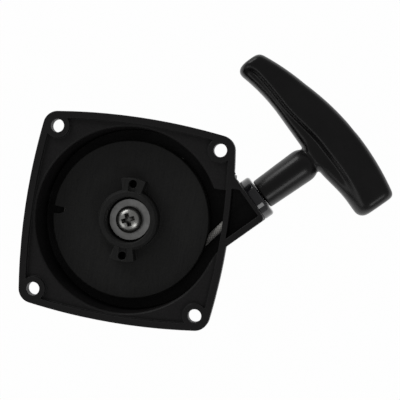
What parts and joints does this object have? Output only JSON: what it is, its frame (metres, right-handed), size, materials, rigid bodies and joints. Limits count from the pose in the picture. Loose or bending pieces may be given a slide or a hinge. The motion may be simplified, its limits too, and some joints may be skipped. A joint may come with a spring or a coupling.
{
  "type": "recoil starter",
  "caption": "Pull-rope recoil starter for a small engine: square flanged housing, rope reel with drive dogs, spring, rope guide and T-handle.",
  "frame": {"origin": "centre of the four mounting holes, on the mounting face, which is also the reel's axis", "axes": "+Z out of the open engine side, along the reel's axis; X and Y along the square flange's sides. The rope leaves in the XY plane at 44.3 degrees from +X"},
  "size_m": [0.1572, 0.1245, 0.0316],
  "materials": {
    "housing_plastic": "satin moulded black nylon",
    "reel_plastic": "matt moulded black nylon",
    "grip_plastic": "polished black",
    "guide_plastic": "glossy black",
    "washer_zinc": "zinc plated",
    "screw_zinc": "zinc plated",
    "steel": "bright steel",
    "spring_steel": "blued spring steel",
    "brass": "turned",
    "nylon": "natural nylon",
    "rope": "braided polyester"
  },
  "bodies": {
    "housing": {"housing": "housing_plastic", "threaded_insert": "brass", "post_sleeve": "steel", "spring_cup": "steel", "spring_rivet": "steel", "recoil_spring": "spring_steel", "spring_cover": "steel", "cover_screws": "steel", "lower_thrust_washer": "nylon", "upper_thrust_washer": "nylon", "retaining_washer": "washer_zinc", "lock_washer": "spring_steel", "centre_screw": "screw_zinc", "rope_guide": "guide_plastic", "rope_lead": "rope"},
    "reel": {"reel": "reel_plastic", "reel_bush": "brass", "rope_on_reel": "rope", "reel_knot": "rope"},
    "handle": {"handle_grip": "grip_plastic", "handle_knot": "rope", "knot_washer": "steel", "handle_cap": "grip_plastic"}
  },
  "joints": [
    {"name": "handle_pull", "type": "slide", "parent": "housing", "child": "handle", "axis": [0.7157, 0.6984, 0], "range_m": [0, 0.65], "stiffness_N_per_m": 12, "springref_m": -0.4, "deforming": ["rope_lead"]},
    {"name": "reel_spin", "type": "hinge", "parent": "housing", "child": "reel", "pos_m": [0, 0, -0.0163], "axis": [0, 0, 1], "range_deg": [0, 1254], "deforming": ["recoil_spring"]}
  ],
  "couplings": [
    {"joint": "reel_spin", "follows": "handle_pull", "rad_per_m": 33.67}
  ]
}
